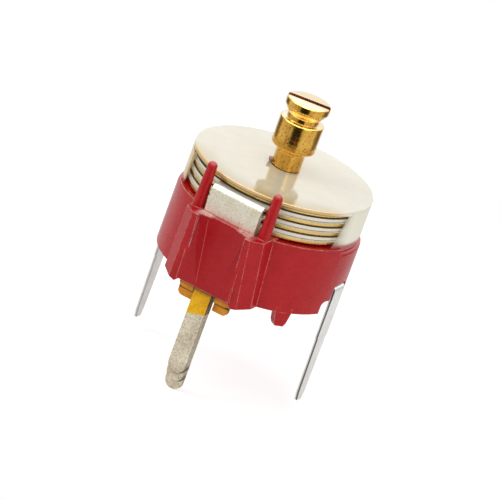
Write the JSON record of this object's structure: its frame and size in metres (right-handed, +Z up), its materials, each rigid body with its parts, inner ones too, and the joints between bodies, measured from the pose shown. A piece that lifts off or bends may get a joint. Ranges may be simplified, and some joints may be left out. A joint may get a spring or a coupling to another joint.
{
  "type": "variable capacitor",
  "caption": "Film trimmer capacitor for a board: meshing half-round vanes between clear films on a red base under a milky cover, turned by a slotted brass spindle, with flat pins.",
  "frame": {"origin": "on the spindle axis, in the top plane of the board that the part is soldered into", "axes": "+Z up along the spindle, away from the board; -Y from the spindle towards the stator pin; X along the line of the two rotor pins"},
  "size_m": [0.0104, 0.0115, 0.0162],
  "materials": {
    "red_plastic": "glossy moulded",
    "milky_plastic": "glossy, milky and partly clear",
    "brass": "turned and bright",
    "vane_brass": "rolled sheet, satin",
    "silvered": "silvered sheet, satin",
    "tinned": "tinned, satin",
    "clear_film": "clear film",
    "spring_steel": "bright rolled"
  },
  "bodies": {
    "base": {"housing": "red_plastic", "cover": "milky_plastic", "rotor_terminal": "tinned", "stator_vane_1": "silvered", "stator_vane_2": "silvered", "stator_vane_3": "silvered", "dielectric_film_1": "clear_film", "dielectric_film_2": "clear_film", "dielectric_film_3": "clear_film", "dielectric_film_4": "clear_film", "dielectric_film_5": "clear_film", "dielectric_film_6": "clear_film"},
    "rotor": {"spindle": "brass", "rotor_bush": "brass", "rotor_vane_1": "vane_brass", "rotor_vane_2": "vane_brass", "rotor_vane_3": "vane_brass", "rotor_vane_4": "vane_brass", "rotor_spacer_1": "brass", "rotor_spacer_2": "brass", "rotor_spacer_3": "brass", "spring_washer": "spring_steel", "retaining_washer": "tinned"}
  },
  "joints": [
    {"name": "rotor_spin", "type": "hinge", "parent": "base", "child": "rotor", "pos_m": [0, 0, 0], "axis": [0, 0, 1], "continuous": true}
  ]
}
